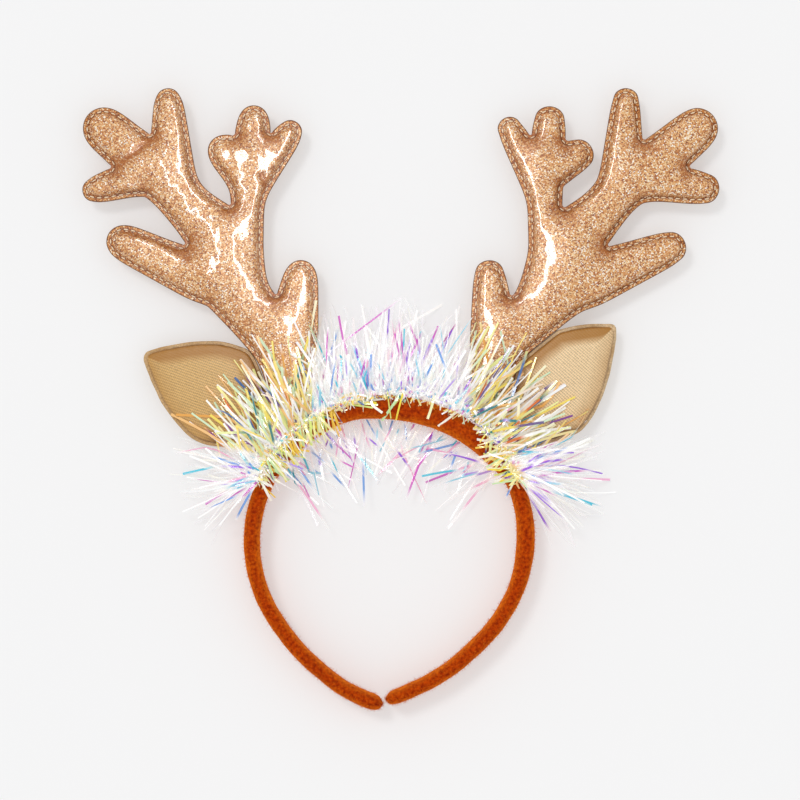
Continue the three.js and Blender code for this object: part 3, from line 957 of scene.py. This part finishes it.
def build_band(felt, fuzz):
    """The padded ring, extruded ring by ring from one tip to the other."""
    sides = 28
    stations = 150
    crowding = 0.55
    tip_turn = 4.2
    tip_height = 0.35
    point = 0.02
    first, last = RING[0][0], RING[-1][0]
    places, turned, cells = [], [], []
    rng = np.random.default_rng(5)
    for k in range(stations + 1):
        share = k / stations
        eased = share - crowding * math.sin(2 * math.pi * share) / (2 * math.pi)
        turn = first + (last - first) * eased
        end = min(turn - first, last - turn, tip_turn) / tip_turn
        blunt = math.sqrt(max(end * (2 - end), 0.0))
        half = ring_half_padding(turn) * max(blunt, point)
        fullness = tip_height + (1 - tip_height) * blunt if end > 0 else point
        high = 0.5 * BAND_HEIGHT * fullness
        for j in range(sides):
            angle = 2 * math.pi * j / sides
            u = math.copysign(abs(math.cos(angle)) ** 0.8, math.cos(angle))
            v = math.copysign(abs(math.sin(angle)) ** 0.62, math.sin(angle))
            lump = 1 + 0.02 * math.sin(turn * 0.55 + 2 * angle) + 0.012 * rng.normal()
            x, y = on_ring(turn, ring_reach(turn) + u * half * lump)
            z = 0.5 * BAND_HEIGHT + v * high
            places.append((x, y, z))
            # Share of painted sheen: full at the sides of the band, none on top
            turned.append(abs(math.cos(angle)) ** 2.2)
    for k in range(stations):
        for j in range(sides):
            a = k * sides + j
            b = k * sides + (j + 1) % sides
            cells.append((a, b, b + sides, a + sides))
    cells.append(tuple(range(sides))[::-1])
    cells.append(tuple(stations * sides + j for j in range(sides)))
    band = mesh_object("headband_felt", places, cells, felt)
    store(band, "turned", turned)
    apply_modifier(band, "SUBSURF", levels=1, render_levels=1)
    select_only(band)
    bpy.ops.object.mode_set(mode="EDIT")
    bpy.ops.mesh.select_all(action="SELECT")
    bpy.ops.mesh.normals_make_consistent(inside=False)
    bpy.ops.object.mode_set(mode="OBJECT")
    select_only(band)
    bpy.ops.object.shade_smooth()
    ride(band, "felt", "headband")
    nap = felt_hairs(band, fuzz)
    ride(nap, "felt")
    return [band]


def felt_hairs(band, material):
    """Short bent hairs standing off the felt."""
    rng = np.random.default_rng(11)
    count = 15000
    scatter = 0.25 * MM
    spread = 0.75
    bend = 0.45
    width = 0.055 * MM
    lowest = 0.1 * MM
    places = vertices_of(band)
    normals = np.empty(len(places) * 3)
    band.data.vertices.foreach_get("normal", normals)
    normals = normals.reshape(-1, 3)
    picks = rng.integers(0, len(places), count)
    root = places[picks] + rng.normal(0, scatter, (count, 3))
    lean = normals[picks] + rng.normal(0, spread, (count, 3))
    lean /= np.linalg.norm(lean, axis=1)[:, None]
    reach = rng.uniform(0.35, 1.15, count)[:, None] * MM
    across = np.cross(lean, rng.normal(0, 1, (count, 3)))
    across /= np.linalg.norm(across, axis=1)[:, None]
    half = width * across
    middle = root + 0.6 * reach * lean
    tip = root + reach * (lean + rng.normal(0, bend, (count, 3)))
    corners = [root - half, root + half, middle + 0.7 * half, middle - 0.7 * half, tip]
    points = np.stack(corners, axis=1)
    points[:, :, 2] = np.maximum(points[:, :, 2], lowest)
    first = 5 * np.arange(count)[:, None]
    quads = (first + [0, 1, 2, 3]).tolist()
    tips = (first + [3, 2, 4]).tolist()
    return mesh_object("headband_nap", points.reshape(-1, 3), quads + tips, material)


# Colours of the film and how solid they are. Over the pale table it is nearly clear, with
# a few bright stretches; over brown and gold it shines yellow, green and white, partly its own colours
# and partly painted reflection.
PALE = [
    ((1.0, 0.99, 0.97), 0.32), ((0.96, 0.91, 0.95), 0.34), ((1.0, 0.92, 0.92), 0.34),
    ((0.91, 0.97, 0.97), 0.32), ((1.0, 1.0, 0.98), 0.90), ((0.99, 0.98, 0.82), 0.36),
    ((0.74, 0.73, 0.76), 0.32), ((0.93, 0.93, 0.91), 0.32), ((1.0, 1.0, 0.98), 0.80),
]
BRIGHT = [
    ((0.02, 0.56, 0.74), 0.9), ((0.10, 0.32, 0.80), 0.85), ((0.30, 0.08, 0.76), 0.9),
    ((0.62, 0.05, 0.52), 0.85), ((0.26, 0.68, 0.86), 0.85), ((0.46, 0.28, 0.86), 0.85),
    ((0.92, 0.34, 0.60), 0.7),
]
GOLD = [
    ((1.0, 0.98, 0.92), 1.0), ((0.97, 0.78, 0.14), 1.0), ((0.98, 0.90, 0.36), 1.0),
    ((0.86, 0.90, 0.36), 0.95), ((1.0, 0.95, 0.66), 1.0), ((1.0, 0.97, 0.98), 1.0),
    ((0.98, 0.58, 0.22), 0.9), ((0.68, 0.88, 0.60), 0.9), ((0.98, 0.76, 0.20), 0.95),
    ((0.98, 0.82, 0.66), 0.95), ((1.0, 1.0, 1.0), 1.0), ((0.98, 0.84, 0.40), 0.9),
]
DEEP = [
    ((0.02, 0.24, 0.26), 0.95), ((0.12, 0.06, 0.26), 0.9), ((0.74, 0.16, 0.02), 0.95),
    ((0.22, 0.04, 0.34), 0.9), ((0.84, 0.40, 0.08), 0.95), ((0.06, 0.16, 0.42), 0.9),
]
LACE = [
    ((0.74, 0.86, 0.22), 1.0), ((0.94, 0.76, 0.05), 1.0), ((0.58, 0.82, 0.42), 1.0),
    ((0.92, 0.92, 0.52), 1.0), ((0.98, 0.95, 0.84), 1.0), ((0.92, 0.60, 0.06), 1.0),
]

# Bunches of strips: kind, how many, first and last turn round the ring, mean direction and
# its spread in degrees clockwise from straight out, shortest and longest in millimetres,
# lowest and highest rise in degrees
BUNCHES = [
    ("fringe", 440, -64, -26, 20, 15, 16, 44, -12, 62),
    ("fringe", 560, -26, 24, 6, 17, 14, 42, -12, 62),
    ("fringe", 470, 24, 63, 8, 15, 16, 42, -12, 62),
    ("fringe", 85, -66, -58, -45, 20, 14, 38, -10, 40),
    ("fringe", 120, 56, 64, 48, 20, 14, 42, -10, 40),
    ("fringe", 50, -60, -26, 188, 22, 10, 20, 4, 40),
    ("fringe", 36, 38, 62, 186, 20, 8, 15, 4, 40),
    ("below", 145, -58, 58, 190, 20, 8, 34, -4, 12),
    ("lace", 84, -63, -24, 200, 11, 7, 13, 0, 10),
    ("lace", 22, 48, 62, 190, 14, 6, 13, 0, 10),
    ("lace", 6, -22, 34, 182, 20, 8, 15, 0, 8),
    ("lace", 80, -62, -16, 90, 7, 6, 17, 0, 12),
    ("lace", 8, -28, -14, 108, 10, 14, 22, 0, 8),
    ("core", 1500, -64, 63, 0, 180, 2.0, 7, -20, 70),
    ("core", 900, -64, 63, 4, 24, 6, 14, -10, 60),
]


# Painted glow of the film: on its pale stretches, and where it is bright or lies on a piece
PALE_GLOW = 0.2
DIM_GLOW = 0.08


def garland_place(turn):
    return on_ring(turn, RING_RADIUS * smooth_read(GARLAND, 1, turn))


def pick_from(rng, colours):
    colour, clear = colours[rng.integers(len(colours))]
    return [*colour, clear]


def film_colours(rng, kind, covered):
    """Colour, solidity and painted glow of a strip, section by section, and whether it is bright."""
    steps = len(covered)
    if kind == "lace":
        colours = np.tile(pick_from(rng, LACE), (steps, 1))
        return colours, DIM_GLOW * colours, False
    warm = np.tile(pick_from(rng, GOLD), (steps, 1))
    cool = np.tile(pick_from(rng, PALE), (steps, 1))
    start = rng.integers(0, steps - 2)
    end = start + rng.integers(2, 5)
    bright = rng.random() < (0.55 if kind == "below" else 0.22)
    light = np.full(steps, PALE_GLOW)
    if rng.random() < 0.36:
        warm[start:end] = pick_from(rng, DEEP)
    if bright:
        cool[start:end] = pick_from(rng, BRIGHT)
        light[start:end] = DIM_GLOW
    light[covered] = DIM_GLOW
    # Stretches over a piece take the gold or deep colour, partly painted reflection; over the table
    # the pale one
    colours = np.where(covered[:, None], warm, cool)
    colours[:, :3] *= rng.uniform(0.9, 1.0)
    return colours, colours * light[:, None], bright


def surface_finder(solids):
    """A function that gives the height of the pieces' top at a place."""
    places, faces = [], []
    for obj in solids:
        first = len(places)
        places += [tuple(place) for place in vertices_of(obj)]
        faces += [tuple(first + v for v in polygon.vertices) for polygon in obj.data.polygons]
    tree = BVHTree.FromPolygons(places, faces)
    above_all = 60 * MM

    def surface(x, y):
        hit = tree.ray_cast(Vector((x, y, above_all)), Vector((0, 0, -1)))
        return hit[0].z if hit[0] is not None else 0.0

    return surface


def strip_path(rng, row, surface, steps):
    """The line of one strip from its root, and the tops of the pieces below it."""
    kind, _, first_turn, last_turn, mean, spread, short, long, low, high = row
    along = np.linspace(0, 1, steps + 1)
    lowest = 0.3 * MM
    highest = 45 * MM
    droop = 0.55
    turn = rng.uniform(first_turn, last_turn)
    near = garland_place(turn + 0.5) - garland_place(turn - 0.5)
    near /= np.linalg.norm(near)
    out = np.array([-near[1], near[0]])
    fan = math.radians(mean + spread * np.clip(rng.normal(), -2.2, 2.2))
    heading = out * math.cos(fan) + near * math.sin(fan)
    side = np.array([-heading[1], heading[0]])
    length = rng.uniform(short, long) * MM
    rise = math.radians(rng.uniform(low, high))
    if kind == "below":
        root = on_ring(turn, ring_reach(turn) - ring_half_padding(turn) - 0.4 * MM)
        start = rng.uniform(0.5, 3.5) * MM
    else:
        root = garland_place(turn) + rng.normal(0, 1.1, 2) * MM
        start = BAND_HEIGHT + (2.5 + rng.normal(0, 1.2)) * MM
    curl = rng.normal(0, 0.07)
    kink = rng.normal(0, 0.8) if rng.random() < 0.12 else 0.0
    sideways = curl * along * along + kink * np.maximum(along - rng.uniform(0.3, 0.8), 0)
    flat = root + length * math.cos(rise) * (np.outer(along, heading) + np.outer(sideways, side))
    tops = np.array([surface(x, y) for x, y in flat])
    layer = rng.uniform(0.3, 2.4) * MM
    if kind == "below":
        height = np.maximum(start + length * math.sin(rise) * along, lowest)
    else:
        height = start + length * (math.sin(rise) * along - droop * along * along)
        height = np.maximum(height, tops + layer * (1.1 - 0.7 * along))
    height = np.minimum(height, highest)
    height[1:-1] = 0.25 * height[:-2] + 0.5 * height[1:-1] + 0.25 * height[2:]
    return np.column_stack([flat, height]), tops


def build_tinsel(solids, film):
    """Strips of film that leave the core on all sides and lie on what is below them."""
    rng = np.random.default_rng(23)
    steps = 7
    left_out = 0.58
    lowest = 0.15 * MM
    surface = surface_finder(solids)
    rows = [row for row in BUNCHES for _ in range(row[1])]
    places, tints, glows, cells = [], [], [], []
    for row in rows:
        kind = row[0]
        path, tops = strip_path(rng, row, surface, steps)
        covered = tops > 1 * MM
        over_piece = covered[3:].mean() > 0.5
        if kind == "fringe" and over_piece and rng.random() < left_out:
            continue
        wide = kind == "lace" or (kind == "fringe" and over_piece)
        colours, glow, bright = film_colours(rng, kind, covered)
        if wide:
            widths = [0.30, 0.42, 0.56]
        elif bright:
            widths = [0.36, 0.50]
        else:
            widths = [0.15, 0.25, 0.42]
        width = rng.choice(widths) * MM
        ahead = np.gradient(path, axis=0)
        ahead /= np.linalg.norm(ahead, axis=1)[:, None]
        level = np.cross(ahead, [0, 0, 1.0])
        level /= np.maximum(np.linalg.norm(level, axis=1), 1e-6)[:, None]
        over = np.cross(level, ahead)
        turned = 0.3 if wide else 1.1
        angle = rng.uniform(-0.4, 0.4) + rng.uniform(-turned, turned) * np.linspace(0, 1, steps + 1)
        across = level * np.cos(angle)[:, None] + over * np.sin(angle)[:, None]
        first = 2 * (steps + 1) * len(places)
        places.append(np.vstack([path - width * across, path + width * across]))
        tints.append(np.vstack([colours, colours]))
        glows.append(np.vstack([glow, glow]))
        for a in range(first, first + steps):
            b = a + steps + 1
            cells.append((a, b, b + 1, a + 1))
    points = np.vstack(places)
    points[:, 2] = np.maximum(points[:, 2], lowest)
    tinsel = mesh_object("tinsel_strips", points, cells, film)
    store_colour(tinsel, "tint", np.vstack(tints))
    store_colour(tinsel, "glow", np.vstack(glows))
    ride(tinsel, "tinsel_film", "tinsel_garland")
    return tinsel


# Table, light and camera

def table_top():
    paint = Finish("table")
    return paint.finish(
        Base_Color=(0.55, 0.55, 0.553), Roughness=0.9, Specular_IOR_Level=0.1,
        Emission_Color=(1.0, 1.0, 1.0), Emission_Strength=0.372,
    )


def add_area(name, place, aim, size, power):
    lamp = bpy.data.lights.new(name, "AREA")
    lamp.shape = "RECTANGLE"
    lamp.size, lamp.size_y = size
    lamp.energy = power
    obj = bpy.data.objects.new(name, lamp)
    obj.location = place
    obj.rotation_euler = (Vector(aim) - Vector(place)).to_track_quat("-Z", "Y").to_euler()
    obj.visible_camera = False
    bpy.context.scene.collection.objects.link(obj)
    return obj


# Strip lamps that only show in the gloss: place, aim, width and length in metres, watts
STRIP_LIGHTS = [
    ("middle_strip", (-0.012, 0.07, 0.16), (-0.012, 0.07, 0), (0.026, 0.26), 0.45),
    ("left_strip", (-0.097, 0.085, 0.11), (-0.097, 0.085, 0), (0.009, 0.09), 0.055),
]


def set_stage():
    table_side = 4.0
    table_drop = 0.2 * MM
    room_light = 0.80
    bpy.ops.object.select_all(action="DESELECT")
    bpy.ops.mesh.primitive_plane_add(size=table_side, location=(0, 0, -table_drop))
    floor = bpy.context.object
    floor.name = "table_top"
    apply_place(floor)
    floor.data.materials.append(table_top())
    world = bpy.data.worlds.new("soft_room")
    world.use_nodes = True
    world.node_tree.nodes["Background"].inputs[0].default_value = (1, 1, 1, 1)
    world.node_tree.nodes["Background"].inputs[1].default_value = room_light
    bpy.context.scene.world = world
    sun = bpy.data.lights.new("key", "SUN")
    sun.energy = 0.7
    sun.angle = math.radians(14)
    key = bpy.data.objects.new("key", sun)
    key.rotation_euler = Vector((-0.42, 0.46, 1.0)).to_track_quat("Z", "Y").to_euler()
    key.visible_glossy = False
    bpy.context.scene.collection.objects.link(key)
    for name, place, aim, size, power in STRIP_LIGHTS:
        add_area(name, place, aim, size, power).visible_diffuse = False


# The middle of the picture on the object
VIEW_CENTRE = (-0.3 * MM, -1.52 * MM)


def set_camera():
    picture_side = 800
    scale = 0.44 * MM
    height = 1.6
    data = bpy.data.cameras.new("camera")
    data.sensor_width = 36.0
    data.lens = data.sensor_width * (height - 0.5 * ANTLER_DEPTH) / (picture_side * scale)
    data.clip_start = 0.05
    data.clip_end = 20.0
    camera = bpy.data.objects.new("camera", data)
    camera.location = (*VIEW_CENTRE, height)
    bpy.context.scene.collection.objects.link(camera)
    bpy.context.scene.camera = camera


# Each ear's cloth: lean of its ribs and cross ribs in degrees, colour of its face and rim
EAR_CLOTH = {
    "left": (20, -62, (0.76, 0.46, 0.155), (0.80, 0.52, 0.24)),
    "right": (42, -44, (0.98, 0.71, 0.40), (0.92, 0.68, 0.40)),
}

vinyl = glitter_vinyl()
backing = backing_cloth()
thread = seam_thread("antler_thread", (0.82, 0.56, 0.28), (1.0, 0.92, 0.74))
# Dark colours of the spots round the stitches: painted shade
groove_shade = seam_thread("needle_shade_marks", (0.14, 0.030, 0.004), (0.36, 0.105, 0.015))
solids = []
for side_name in ("left", "right"):
    solids += build_antler(side_name, vinyl, backing, thread, groove_shade)
for side_name, (lean, cross, twill, rim) in EAR_CLOTH.items():
    satin = satin_twill(f"satin_{side_name}", lean, cross, twill)
    piping = ear_piping(f"piping_{side_name}", rim)
    solids += build_ear(side_name, satin, piping)
solids += build_band(rust_felt(), felt_fuzz())
build_tinsel(solids, tinsel_film())
set_stage()
set_camera()
bpy.context.scene.view_settings.view_transform = "Standard"
